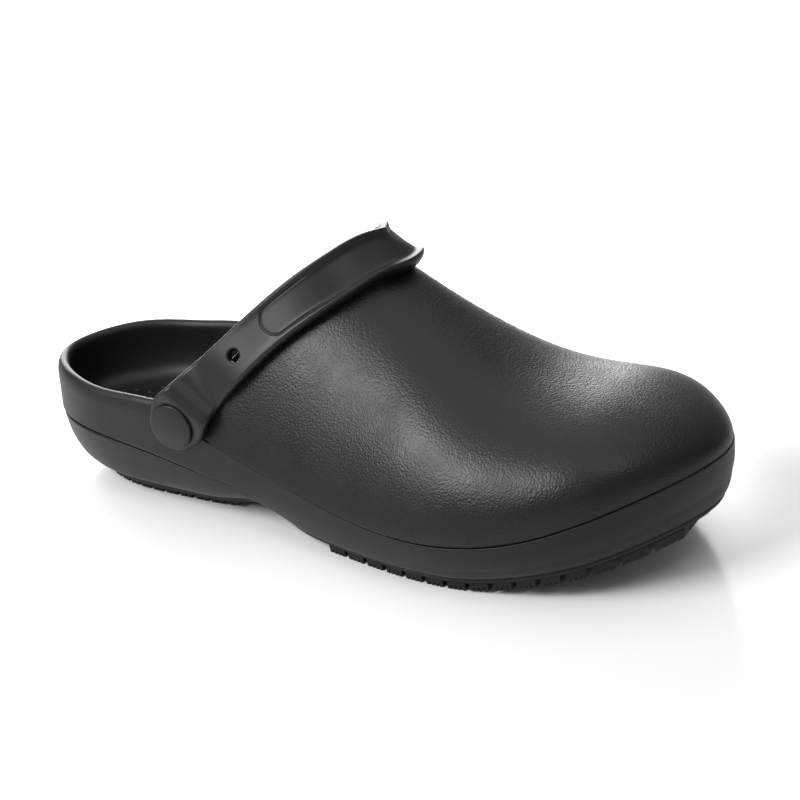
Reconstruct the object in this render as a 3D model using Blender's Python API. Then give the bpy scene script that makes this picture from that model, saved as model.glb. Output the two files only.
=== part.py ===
import bpy
import bmesh
import numpy as np

# Chef clog, right shoe. +X runs to the toe, +Y to the inner (medial) side, +Z up, floor at z = 0.
# Every length below is in metres and is set on its own. Tables hold shares of these sizes.

LENGTH = 0.285            # heel to toe, outermost
BALL_WIDTH = 0.113        # sizes the outline across
STATIONS = 44             # places along each side of the outline

# sole heights above the floor
LUG_DEPTH = 0.0030
TREAD_PLATE = 0.0020      # rubber sheet the lugs stand on
SEAM_GAP = 0.00035        # between pieces that meet
TOE_SPRING = 0.0190       # how far the tread leaves the floor at the toe tip
ARCH_LIFT = 0.0060        # how far the tread leaves the floor under the waist
SEAM_HEIGHT = 0.0470      # top of the moulded band at the rivets; scales the parting line
LEDGE_HEIGHT = 0.0300     # step round the heel
FOOTBED_HEIGHT = 0.0240   # under the heel
HEEL_TAPER = 0.0145       # how far the heel block draws in from the outline at the tread
FORE_TAPER = 0.0060       # the same under the ball
RIM_WALL = 0.0046         # thickness of the cup's open rim

# vamp
VAMP_INSET = 0.0020       # step from the band's outline in to the vamp
VAMP_WALL = 0.0036
INSTEP_HEIGHT = 0.1090    # virtual top line over the instep
CREST_SHIFT = 0.0165      # the instep's top line lies toward the inner side
ARCH_POWER = 2.3          # shape of the toe box section, across
DOME_POWER = 2.4          # the same, upward
TOE_ROUND_START = 0.84    # share of the length where the toe box starts to close
COLLAR_BACK = 0.0030      # the collar edge hides this far behind the strap's centre line
COLLAR_START = 0.313      # share along the shoe where the collar leaves the cup's rim
RIM_END = 0.292           # share along the shoe where the open rim ends

# strap and rivets
STRAP_WIDTH = 0.0184
STRAP_THICK = 0.0032
STRAP_LIP = 0.0016        # rims that stand up over the crown
STRAP_LIFT = 0.0043       # centre of the strap above the vamp at the sides
STRAP_CROWN_LIFT = 0.0057
STRAP_INNER_DROP = 0.0014    # the inner half lies this much closer to the vamp
STRAP_TILT = 15.0        # degrees the strap leans back at the crown
PANEL_DEPTH = 0.0008
STRAP_HOLE = 0.0050       # diameter
RIVET_SPOT = (0.286, 0.0428)   # share along the shoe, height
RIVET_HEAD = 0.0180       # diameter
RIVET_DOME = 0.0016
RIVET_PIN = 0.0050        # diameter
RIVET_BACK = 0.0110       # diameter of the head inside the cup

# outline: share along, share of the ball width on the outer side, the same on the inner side
OUTLINE = (
    (0.050, 0.214, 0.215),
    (0.140, 0.322, 0.323),
    (0.250, 0.346, 0.340),
    (0.380, 0.369, 0.345),
    (0.520, 0.440, 0.400),
    (0.660, 0.503, 0.460),
    (0.780, 0.485, 0.460),
    (0.880, 0.410, 0.421),
    (0.955, 0.242, 0.259),
)
TOE_POINT = 0.022         # share of the ball width, toward the inner side

# share along, height as a share of SEAM_HEIGHT: the cup's rim, then the parting line under the vamp
RIM_LINE = (
    (0.00, 1.00), (0.06, 1.03), (0.15, 1.02), (0.22, 1.04), (0.26, 1.06), (RIM_END, 1.05), (0.303, 0.95),
    (COLLAR_START, 0.84), (0.327, 0.78), (0.37, 0.69), (0.50, 0.50), (0.65, 0.42), (0.80, 0.54),
    (0.92, 0.80), (1.00, 0.94),
)
# share along, height as a share of LEDGE_HEIGHT
LEDGE_LINE = (
    (0.00, 0.92), (0.10, 1.00), (0.20, 0.93), (0.30, 0.74), (0.40, 0.55), (0.50, 0.33),
    (0.62, 0.31), (0.75, 0.40), (0.85, 0.63), (0.93, 0.88), (1.00, 1.08),
)
# share along, share of ARCH_LIFT, share of TOE_SPRING: how far the tread is off the floor
TREAD_LINE = (
    (0.00, 0.10, 0.0), (0.04, 0.0, 0.0), (0.28, 0.0, 0.0), (0.33, 0.30, 0.0), (0.37, 0.85, 0.0),
    (0.41, 0.75, 0.0), (0.46, 0.20, 0.0), (0.51, 0.0, 0.0), (0.60, 0.0, 0.0), (0.70, 0.0, 0.0),
    (0.75, 0.0, 0.08), (0.85, 0.0, 0.42), (0.93, 0.0, 0.75), (1.00, 0.0, 1.0),
)
# share along, height as a share of FOOTBED_HEIGHT
FOOTBED_LINE = (
    (0.00, 1.04), (0.10, 1.00), (0.25, 1.00), (0.35, 0.92), (0.45, 0.70), (0.55, 0.54),
    (0.65, 0.49), (0.75, 0.56), (0.85, 0.82), (0.93, 1.08), (1.00, 1.30),
)
# share along, top line as a share of INSTEP_HEIGHT, shares of ARCH_POWER, DOME_POWER, CREST_SHIFT
TOP_LINE = (
    (0.20, 0.98, 0.88, 0.48, 1.00), (0.30, 1.00, 0.88, 0.48, 1.00), (0.40, 1.01, 0.88, 0.48, 1.00),
    (0.48, 0.93, 0.88, 0.49, 1.00), (0.56, 0.82, 0.89, 0.54, 0.85), (0.65, 0.70, 0.93, 0.68, 0.45),
    (0.75, 0.595, 0.98, 0.88, 0.12), (0.85, 0.565, 1.00, 1.00, 0.00), (1.00, 0.55, 1.00, 1.00, 0.00),
)
# degrees round the vamp's section, share along: the strap's centre line
STRAP_LINE = ((0, 0.290), (12, 0.292), (25, 0.319), (40, 0.375), (58, 0.449), (75, 0.500), (90, 0.526))
STRAP_INWARD = 0.012        # share along by which the inner half runs farther forward
# distance from the rivet along the strap in strap widths, half width as a share of STRAP_WIDTH
STRAP_FLARE = (
    (0.0, 0.60), (0.20, 0.65), (0.45, 0.60), (0.80, 0.54), (1.30, 0.50), (2.20, 0.476), (3.20, 0.472),
    (4.30, 0.50), (5.50, 0.51),
)
# cup wall rings from the tread up: inset share under the heel, under the ball, then height share.
# The height runs 0 at the tread, 1 at the ledge, 2 at the rim.
WALL_RINGS = (
    (1.00, 1.00, 0.00),
    (0.56, 0.70, 0.12),
    (0.25, 0.42, 0.48),
    (0.08, 0.28, 0.93),
    (0.06, 0.24, 1.02),
    (0.07, 0.12, 1.16),
    (0.08, 0.01, 1.45),
    (0.10, 0.06, 1.75),
)
# rim rings: share of RIM_WALL inward, drop below the rim as a share of RIM_WALL (heel, ball)
RIM_RINGS = (
    (0.06, 0.50, 0.30),
    (0.22, 0.14, 0.02),
    (0.50, 0.00, 0.00),
    (0.80, 0.12, 0.00),
    (1.00, 0.50, 0.20),
)
# inner wall rings: extra inset as a share of RIM_WALL, height share from footbed to rim
INNER_RINGS = ((1.10, 0.55), (1.45, 0.20), (2.20, 0.04))
FOOTBED_EDGE = 3.4        # last footbed ring, in rim walls from the rim


def natural(table, column, x):
    """Natural cubic through one column of a table whose first column is the place."""
    xs = np.array([row[0] for row in table], float)
    ys = np.array([row[column] for row in table], float)
    n = len(xs)
    h = np.diff(xs)
    a = np.eye(n)
    b = np.zeros(n)
    for i in range(1, n - 1):
        a[i, i - 1], a[i, i], a[i, i + 1] = h[i - 1], 2 * (h[i - 1] + h[i]), h[i]
        b[i] = 6 * ((ys[i + 1] - ys[i]) / h[i] - (ys[i] - ys[i - 1]) / h[i - 1])
    m = np.linalg.solve(a, b)
    x = np.clip(np.asarray(x, float), xs[0], xs[-1])
    i = np.clip(np.searchsorted(xs, x, side="right") - 1, 0, n - 2)
    p = (xs[i + 1] - x) / h[i]
    q = (x - xs[i]) / h[i]
    return p * ys[i] + q * ys[i + 1] + ((p**3 - p) * m[i] + (q**3 - q) * m[i + 1]) * h[i]**2 / 6


def ease(x, low, high):
    """Smooth step from 0 at low to 1 at high."""
    q = np.clip((x - low) / (high - low), 0, 1)
    return q * q * (3 - 2 * q)


def closed_curve(points, count):
    """Periodic cubic through the points, sampled finely."""
    p = np.array(points, float)
    n = len(p)
    d = np.linalg.norm(np.roll(p, -1, 0) - p, axis=1)
    t = np.r_[0, np.cumsum(d)]
    a = np.zeros((n, n))
    b = np.zeros((n, 2))
    for i in range(n):
        a[i, i - 1] += d[i - 1]
        a[i, i] += 2 * (d[i - 1] + d[i])
        a[i, (i + 1) % n] += d[i]
        b[i] = 6 * ((p[(i + 1) % n] - p[i]) / d[i] - (p[i] - p[i - 1]) / d[i - 1])
    m = np.linalg.solve(a, b)
    q = np.linspace(0, t[-1], count, endpoint=False)
    i = np.clip(np.searchsorted(t, q, side="right") - 1, 0, n - 1)
    j = (i + 1) % n
    h = d[i][:, None]
    u = (t[i + 1] - q)[:, None] / h
    v = (q - t[i])[:, None] / h
    return u * p[i] + v * p[j] + ((u**3 - u) * m[i] + (v**3 - v) * m[j]) * h**2 / 6


def foot_outline():
    """Fine outline loop from the heel along the outer side to the toe and back, with inward normals."""
    outer = [(a * LENGTH, -b * BALL_WIDTH) for a, b, _ in OUTLINE]
    inner = [(a * LENGTH, c * BALL_WIDTH) for a, _, c in reversed(OUTLINE)]
    loop = closed_curve([(0, 0)] + outer + [(LENGTH, TOE_POINT * BALL_WIDTH)] + inner, 4000)
    loop = np.roll(loop, -int(np.argmin(loop[:, 0])), 0)
    step = np.roll(loop, -1, 0) - np.roll(loop, 1, 0)
    step /= np.linalg.norm(step, axis=1)[:, None]
    normal = np.stack([-step[:, 1], step[:, 0]], 1)
    low, high = loop[:, 0].min(), loop[:, 0].max()
    share = (loop[:, 0] - low) / (high - low)
    loop[:, 0] = share * LENGTH - LENGTH / 2
    return loop, normal, share


FINE, FINE_NORMAL, FINE_SHARE = foot_outline()
TOE = int(np.argmax(FINE[:, 0]))


def along(indices, inset):
    """Outline points at fine indices, drawn inward by the inset."""
    return FINE[indices] + FINE_NORMAL[indices] * np.reshape(inset, (-1, 1))


def fine_index(side, shares):
    """Fine indices on one side (0 outer, 1 inner) at shares along the shoe."""
    if side == 0:
        places = np.interp(shares, FINE_SHARE[:TOE + 1], np.arange(TOE + 1))
    else:
        count = len(FINE)
        back = np.r_[FINE_SHARE[TOE:], 0.0][::-1]
        places = np.interp(shares, back, np.arange(TOE, count + 1)[::-1])
    return np.round(places).astype(int) % len(FINE)


def even_shares(count):
    """Shares along the shoe at even distances round the outer side, heel to toe."""
    step = np.linalg.norm(np.diff(FINE[:TOE + 1], axis=0), axis=1)
    run = np.r_[0, np.cumsum(step)] / step.sum()
    shares = np.interp(np.linspace(0, 1, count + 1), run, FINE_SHARE[:TOE + 1])
    for place in (RIM_END, COLLAR_START):
        shares[np.argmin(np.abs(shares - place))] = place
    return shares


def loop_indices(shares):
    """One closed loop of fine indices: heel, outer side, toe, inner side."""
    outer = fine_index(0, shares)
    inner = fine_index(1, shares)
    return np.r_[outer, inner[-2:0:-1]]


def side_curve(side, inset):
    """One side of the inset outline, heel to toe, as x, y and the outline share it belongs to."""
    index = np.arange(TOE + 1) if side == 0 else np.r_[np.arange(TOE, len(FINE)), 0][::-1]
    run = along(index, inset)
    keep = np.maximum.accumulate(run[:, 0])
    return keep, run[:, 1], FINE_SHARE[index]


def rim_height(share):
    return natural(RIM_LINE, 1, share) * SEAM_HEIGHT


def ledge_height(share):
    return natural(LEDGE_LINE, 1, share) * LEDGE_HEIGHT


def tread_height(share):
    """Floor side of the lugs."""
    lift = natural(TREAD_LINE, 1, share) * ARCH_LIFT + natural(TREAD_LINE, 2, share) * TOE_SPRING
    flat = ((share > 0.04) & (share < 0.28)) | ((share > 0.52) & (share < 0.70))
    return np.where(flat, 0.0, np.maximum(lift, 0.0))


def plate_top(share):
    return tread_height(share) + LUG_DEPTH + TREAD_PLATE


def cup_bottom(share):
    return plate_top(share) + SEAM_GAP


def heel_part(share):
    """1 over the heel block, 0 under the ball."""
    return 1 - ease(share, 0.30, 0.47)


def footbed_height(x, y):
    """Footbed surface: the long profile, the dished edges and the arch bump on the inner side."""
    share = np.clip(x / LENGTH + 0.5, 0, 1)
    half = 0.40 * BALL_WIDTH
    base = natural(FOOTBED_LINE, 1, share) * FOOTBED_HEIGHT
    dish = 0.0030 * np.clip(np.abs(y) / half, 0, 1.2)**2.5
    arch = 0.0080 * np.exp(-((share - 0.40) / 0.11)**2) * ease(y, 0.0, half)
    return base + dish + arch


def grid_faces(rows, columns, wrap=False, start=0):
    """Quads between rows of points; wrap closes each row on itself."""
    faces = []
    for i in range(rows - 1):
        for j in range(columns if wrap else columns - 1):
            k = (j + 1) % columns
            a = start + i * columns
            faces.append((a + j, a + k, a + columns + k, a + columns + j))
    return faces


def cap_faces(loop, columns, start):
    """Faces of rows across a closed loop of vertex numbers; new vertices are numbered from start."""
    half = len(loop) // 2
    rows = []
    number = start
    for i in range(1, half):
        row = [loop[i]] + list(range(number, number + columns - 1)) + [loop[-i]]
        number += columns - 1
        rows.append(row)
    faces = [(loop[0], rows[0][j + 1], rows[0][j]) for j in range(columns)]
    for low, high in zip(rows[:-1], rows[1:]):
        faces += [(low[j], low[j + 1], high[j + 1], high[j]) for j in range(columns)]
    faces += [(loop[half], rows[-1][j], rows[-1][j + 1]) for j in range(columns)]
    return faces


def cap_points(ring, columns, height):
    """The new points of those rows across a closed ring; height(x, y, z) gives each one's z."""
    half = len(ring) // 2
    out = []
    for i in range(1, half):
        for j in range(1, columns):
            w = j / columns
            p = ring[i] * (1 - w) + ring[-i] * w
            out.append((p[0], p[1], height(p[0], p[1], p[2])))
    return out


def add_object(name, verts, faces, material):
    """Closed mesh object with outward faces."""
    mesh = bpy.data.meshes.new(name)
    mesh.from_pydata([tuple(map(float, v)) for v in verts], [], [tuple(map(int, f)) for f in faces])
    work = bmesh.new()
    work.from_mesh(mesh)
    bmesh.ops.remove_doubles(work, verts=work.verts, dist=0.00001)
    bmesh.ops.triangulate(work, faces=work.faces)
    bmesh.ops.recalc_face_normals(work, faces=work.faces)
    if work.calc_volume(signed=True) < 0:
        bmesh.ops.reverse_faces(work, faces=work.faces)
    work.to_mesh(mesh)
    work.free()
    mesh.materials.append(material)
    item = bpy.data.objects.new(name, mesh)
    bpy.context.scene.collection.objects.link(item)
    return item


def surface(name, colour, rough):
    """Principled material."""
    item = bpy.data.materials.new(name)
    item.use_nodes = True
    shader = item.node_tree.nodes["Principled BSDF"]
    shader.inputs["Base Color"].default_value = (*colour, 1)
    shader.inputs["Roughness"].default_value = rough
    return item


def drill(item, centre, axis, radius, depth, label):
    """Cut a round hole of the given total depth, centred on a point, along an axis."""
    axis = np.array(axis, float) / np.linalg.norm(axis)
    side = np.cross(axis, (0, 0, 1))
    side /= np.linalg.norm(side)
    up = np.cross(side, axis)
    turn = np.linspace(0.1, 2 * np.pi + 0.1, 16, endpoint=False)
    ring = [side * np.cos(t) * radius + up * np.sin(t) * radius for t in turn]
    verts = [centre + r - axis * depth / 2 for r in ring] + [centre + r + axis * depth / 2 for r in ring]
    faces = grid_faces(2, 16, True) + [tuple(range(16)), tuple(range(31, 15, -1))]
    cutter = add_object(label, verts, faces, item.data.materials[0])
    cutter.hide_render = True
    cutter.display_type = "WIRE"
    cut = item.modifiers.new(label, "BOOLEAN")
    cut.operation = "DIFFERENCE"
    cut.solver = "EXACT"
    cut.object = cutter
    bpy.context.view_layer.update()
    graph = bpy.context.evaluated_depsgraph_get()
    result = bpy.data.meshes.new_from_object(item.evaluated_get(graph))
    item.modifiers.clear()
    item.data = result
    bpy.data.objects.remove(cutter)


def make_midsole(material):
    """Moulded cup: tapered block, ledge, band, rounded rim, inner wall and footbed."""
    shares = even_shares(STATIONS)
    index = loop_indices(shares)
    share = FINE_SHARE[index]
    heel = heel_part(share)
    low, mid, top = cup_bottom(share), ledge_height(share), rim_height(share)
    mid = np.maximum(mid, low + 0.0025)
    taper = heel * HEEL_TAPER + (1 - heel) * FORE_TAPER
    rings = []
    for heel_in, fore_in, level in WALL_RINGS:
        inset = taper * (heel * heel_in + (1 - heel) * fore_in)
        z = np.where(level < 1, low + (mid - low) * level, mid + (top - mid) * (level - 1))
        rings.append(np.c_[along(index, inset), z])
    open_rim = 1 - ease(share, RIM_END - 0.03, COLLAR_START)
    for across, drop_open, drop_seam in RIM_RINGS:
        drop = RIM_WALL * (open_rim * drop_open + (1 - open_rim) * drop_seam)
        rings.append(np.c_[along(index, VAMP_INSET * 0.8 + RIM_WALL * across), top - drop])
    for across, level in INNER_RINGS:
        xy = along(index, VAMP_INSET * 0.8 + RIM_WALL * across)
        bed = footbed_height(xy[:, 0], xy[:, 1])
        rings.append(np.c_[xy, bed + (top - bed) * level])
    xy = along(index, VAMP_INSET * 0.8 + RIM_WALL * FOOTBED_EDGE)
    rings.append(np.c_[xy, footbed_height(xy[:, 0], xy[:, 1])])
    count = len(index)
    verts = [v for ring in rings for v in ring]
    faces = grid_faces(len(rings), count, True)
    bed_loop = list(range((len(rings) - 1) * count, len(rings) * count))
    faces += cap_faces(bed_loop, 8, len(verts))
    verts += cap_points(rings[-1], 8, lambda x, y, z: footbed_height(x, y))
    faces += cap_faces(list(range(count)), 2, len(verts))
    verts += cap_points(rings[0], 2, lambda x, y, z: z)
    return add_object("midsole", verts, faces, material)


def vamp_grid(inset, drop, first, columns=22):
    """Vamp surface: rows from the collar to the toe, columns round the section from side to side."""
    shares = even_shares(STATIONS)[first:]
    edge = []
    for side in (0, 1):
        index = fine_index(side, shares)
        edge.append(np.c_[along(index, np.full(len(index), inset)), rim_height(FINE_SHARE[index])])
    turn = np.linspace(0, np.pi, columns + 1)
    across = (1 - np.cos(turn)) / 2
    outer, inner = edge
    base = outer[:, None, 0] * (1 - across) + inner[:, None, 0] * across
    progress = (outer[:, 0] - outer[0, 0]) / (outer[-1, 0] - outer[0, 0])
    ahead = (COLLAR_START - STRAP_LINE[0][1]) * (1 - ease(np.sin(turn), 0, 0.5))
    collar = (strap_share(turn) + ahead - 0.5) * LENGTH - COLLAR_BACK * np.sin(turn)
    shift = collar - collar[0] - (base[0] - base[0, 0])
    x = base + shift[None, :] * ((1 - progress)**2)[:, None]
    points = vamp_point(x, turn[None, :], inset, drop)
    points[:, 0] = outer
    points[:, -1] = inner
    points[-1] = outer[-1]
    points[:, 0, 2] += SEAM_GAP
    points[:, -1, 2] += SEAM_GAP
    points[-1, :, 2] = outer[-1, 2] + SEAM_GAP
    return points


def strap_share(turn):
    """Share along the shoe of the strap's centre line; turn 0 and pi are the two sides."""
    inward = np.sin(np.clip(2 * turn - np.pi, 0, np.pi))
    return natural(STRAP_LINE, 1, np.degrees(np.minimum(turn, np.pi - turn))) + STRAP_INWARD * inward


def vamp_point(x, turn, inset, drop):
    """Point of the vamp at x, turned round the section: a flattened arch between the two seams."""
    x, turn = np.broadcast_arrays(np.asarray(x, float), turn)
    cos, sin = np.cos(turn), np.clip(np.sin(turn), 0, 1)
    y_side, z_side = [], []
    for side in (0, 1):
        xs, ys, share = side_curve(side, inset)
        y_side.append(np.interp(x, xs, ys))
        z_side.append(np.interp(x, xs, rim_height(share)))
    place = x / LENGTH + 0.5
    arch = natural(TOP_LINE, 2, place) * ARCH_POWER
    dome = natural(TOP_LINE, 3, place) * DOME_POWER
    crest = natural(TOP_LINE, 4, place) * CREST_SHIFT
    reach = np.where(cos > 0, y_side[0] - crest, y_side[1] - crest)
    y = crest + reach * np.abs(cos)**(2 / arch)
    seam = z_side[0] * (1 + cos) / 2 + z_side[1] * (1 - cos) / 2
    top = natural(TOP_LINE, 1, place) * INSTEP_HEIGHT - drop
    tip = LENGTH / 2 - inset
    start = TOE_ROUND_START * LENGTH - LENGTH / 2
    close = np.clip((x - start) / (tip - start), 0, 1)
    top = seam + (top - seam) * (1 - close**ARCH_POWER)**(1 / DOME_POWER)
    return np.stack([x, y, seam + (top - seam) * sin**(2 / dome)], -1)


def make_upper(material):
    """Hollow vamp: outer skin, inner skin, and the edges that join them."""
    first = int(np.argmin(np.abs(even_shares(STATIONS) - COLLAR_START)))
    skin = vamp_grid(VAMP_INSET, 0.0, first)
    lining = vamp_grid(VAMP_INSET + VAMP_WALL, VAMP_WALL, first)
    rows, columns = skin.shape[:2]
    verts = list(skin.reshape(-1, 3)) + list(lining.reshape(-1, 3))
    count = rows * columns
    faces = grid_faces(rows, columns) + [f[::-1] for f in grid_faces(rows, columns, start=count)]
    for j in range(columns - 1):
        faces.append((j + 1, j, count + j, count + j + 1))
    for i in range(rows - 1):
        for j in (0, columns - 1):
            a, b = i * columns + j, (i + 1) * columns + j
            faces.append((a, b, count + b, count + a) if j == 0 else (b, a, count + a, count + b))
    return add_object("upper", verts, faces, material)


def rivet_places():
    """Rivet centres on the cup's outside, outer side first."""
    out = []
    for side, sign in ((0, -1), (1, 1)):
        xs, ys, _ = side_curve(side, 0.0)
        x = RIVET_SPOT[0] * LENGTH - LENGTH / 2
        reach = np.abs(ys[np.abs(xs - x) < 0.010]).max()
        out.append(np.array([x, sign * (reach + SEAM_GAP), RIVET_SPOT[1]]))
    return out


def strap_path(count):
    """Places, outward normals and distance from the nearer rivet along the strap."""
    rivets = rivet_places()
    turn = np.radians(np.linspace(24, 156, 15))
    x = strap_share(turn) * LENGTH - LENGTH / 2
    eps = 0.0005
    p = vamp_point(x, turn, VAMP_INSET, 0.0)
    dx = vamp_point(x + eps, turn, VAMP_INSET, 0.0) - vamp_point(x - eps, turn, VAMP_INSET, 0.0)
    dt = vamp_point(x, turn + 0.02, VAMP_INSET, 0.0) - vamp_point(x, turn - 0.02, VAMP_INSET, 0.0)
    out = np.cross(dt, dx)
    out /= np.linalg.norm(out, axis=1)[:, None]
    out[out[:, 2] < 0] *= -1
    crown = np.sin(turn)**4
    lift = STRAP_LIFT + (STRAP_CROWN_LIFT - STRAP_LIFT) * crown
    degrees = np.degrees(turn)
    lift = lift - STRAP_INNER_DROP * ease(degrees, 92, 112) * (1 - ease(degrees, 125, 150))
    p = p + out * lift[:, None]
    ends = [r + np.array([0, np.sign(r[1]) * STRAP_THICK / 2, 0]) for r in rivets]
    flat = []
    for end, nearest in zip(ends, (p[0], p[-1])):
        way = (nearest - end) * (1, 0, 1)
        flat.append(way / np.linalg.norm(way))
    start = [ends[0] + flat[0] * STRAP_WIDTH * r for r in (0, 0.3, 0.6)]
    stop = [ends[1] + flat[1] * STRAP_WIDTH * r for r in (0.6, 0.3, 0)]
    p = np.r_[start, p, stop]
    out = np.r_[[[0, -1, 0]] * 3, out, [[0, 1, 0]] * 3]
    run = np.r_[0, np.cumsum(np.linalg.norm(np.diff(p, axis=0), axis=1))]
    extra = 0.60 * STRAP_WIDTH
    s = np.linspace(-extra, run[-1] + extra, count)
    end_bunch = extra * (1 - np.cos(np.linspace(0.15, np.pi / 2, 5)))
    s = np.r_[-extra + end_bunch, s[(s > 0.001) & (s < run[-1] - 0.001)], run[-1] + extra - end_bunch[::-1]]
    rows = np.c_[run, p, out]
    inside = np.clip(s, 0, run[-1])
    place = np.stack([natural(rows, 1 + k, inside) for k in range(3)], 1)
    normal = np.stack([natural(rows, 4 + k, inside) for k in range(3)], 1)
    tangent = np.gradient(place, axis=0)
    near = np.where(s < run[-1] / 2, s, run[-1] - s)
    inner = np.where(near > 0)[0]
    tangent[:inner[0]] = flat[0]
    tangent[inner[-1] + 1:] = -flat[1]
    tangent /= np.linalg.norm(tangent, axis=1)[:, None]
    place = place + tangent * (s - inside)[:, None]
    normal -= tangent * np.sum(normal * tangent, 1)[:, None]
    normal /= np.linalg.norm(normal, axis=1)[:, None]
    return place, normal, tangent, near


def make_strap(material):
    """Swept strap with a rounded, flared end at each rivet, rims over the crown and a sunk panel."""
    place, normal, tangent, near = strap_path(34)
    across = np.cross(normal, tangent)
    across *= np.sign(across[:, :1])
    longest = near.max()
    crown = ease(near, 0.35 * longest, 0.90 * longest)
    lean = np.radians(STRAP_TILT) * crown
    wide = across * np.cos(lean)[:, None] - normal * np.sin(lean)[:, None]
    up = across * np.sin(lean)[:, None] + normal * np.cos(lean)[:, None]
    reach = np.clip(near, 0, None) / STRAP_WIDTH
    half = natural(STRAP_FLARE, 1, reach) * STRAP_WIDTH
    end = 0.60 * STRAP_WIDTH
    round_off = np.sqrt(np.clip(1 - (np.clip(-near, 0, end) / end)**2, 0, 1))
    half = np.where(near < 0, np.maximum(end * round_off, 0.0015), half)
    panel = ease(near, 2.85 * STRAP_WIDTH, 3.05 * STRAP_WIDTH)
    section = (
        (-1.00, -0.5, 0.0, 0.0), (-1.00, 0.22, 0.6, 0.0), (-0.92, 0.5, 1.0, 0.0), (-0.72, 0.5, 0.9, 0.0),
        (-0.58, 0.5, 0.1, 0.0), (-0.52, 0.5, 0.0, 1.0), (0.52, 0.5, 0.0, 1.0), (0.62, 0.5, 0.1, 0.0),
        (0.76, 0.5, 0.8, 0.0), (0.93, 0.5, 1.0, 0.0), (1.00, 0.22, 0.6, 0.0), (1.00, -0.5, 0.0, 0.0),
        (0.00, -0.5, 0.0, 0.0),
    )
    verts = []
    for i in range(len(place)):
        for v, level, lip, sunk in section:
            rise = level * STRAP_THICK + lip * STRAP_LIP * crown[i] - sunk * PANEL_DEPTH * panel[i]
            verts.append(place[i] + wide[i] * v * half[i] + up[i] * rise)
    columns = len(section)
    faces = grid_faces(len(place), columns, True)
    faces += [tuple(range(columns)), tuple(range(len(verts) - 1, len(verts) - columns - 1, -1))]
    item = add_object("strap", verts, faces, material)
    for spot in rivet_places():
        drill(item, spot, (0, 1, 0), RIVET_PIN / 2 + SEAM_GAP, 0.016, "cut_rivet")
    where = 2.13 * STRAP_WIDTH
    for pick in (np.argmin(np.abs(near[:len(near) // 2] - where)),
                 len(near) // 2 + np.argmin(np.abs(near[len(near) // 2:] - where))):
        drill(item, place[pick], normal[pick], STRAP_HOLE / 2, 0.012, "cut_hole")
    return item


def make_rivet(name, spot, material):
    """Domed head outside the strap, pin through strap and cup wall, flat head inside the cup."""
    sign = np.sign(spot[1])
    outside = abs(spot[1]) + STRAP_THICK + 1.5 * SEAM_GAP
    wall = abs(spot[1]) - VAMP_INSET * 0.8 - RIM_WALL * 1.45 - 0.0009
    profile = [
        (0.0, outside + RIVET_DOME), (0.45, outside + RIVET_DOME * 0.93), (0.80, outside + RIVET_DOME * 0.66),
        (0.97, outside + RIVET_DOME * 0.32), (1.00, outside + RIVET_DOME * 0.05), (0.97, outside),
    ]
    rings = [(r * RIVET_HEAD / 2, y) for r, y in profile]
    rings += [(RIVET_PIN / 2, outside), (RIVET_PIN / 2, wall), (RIVET_BACK / 2, wall)]
    rings += [(RIVET_BACK / 2, wall - 0.0010), (0.0, wall - 0.0015)]
    turn = np.linspace(0, 2 * np.pi, 20, endpoint=False)
    verts = [(spot[0], sign * rings[0][1], spot[2])]
    for r, y in rings[1:-1]:
        verts += [(spot[0] + r * np.cos(t), sign * y, spot[2] + r * np.sin(t)) for t in turn]
    verts.append((spot[0], sign * rings[-1][1], spot[2]))
    faces = [(0, 1 + j, 1 + (j + 1) % 20) for j in range(20)]
    faces += grid_faces(len(rings) - 2, 20, True, start=1)
    last, base = len(verts) - 1, len(verts) - 21
    faces += [(last, base + (j + 1) % 20, base + j) for j in range(20)]
    return add_object(name, verts, faces, material)


def tread_shares():
    """Start and end of each lug row as shares along the shoe: the heel's rows, then the forefoot's."""
    rows = []
    for start, stop, count in ((0.045, 0.330, 8), (0.500, 0.982, 14)):
        pitch = (stop - start) / count
        for i in range(count):
            rows.append((start + i * pitch, start + (i + 0.80) * pitch))
    return rows


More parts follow.
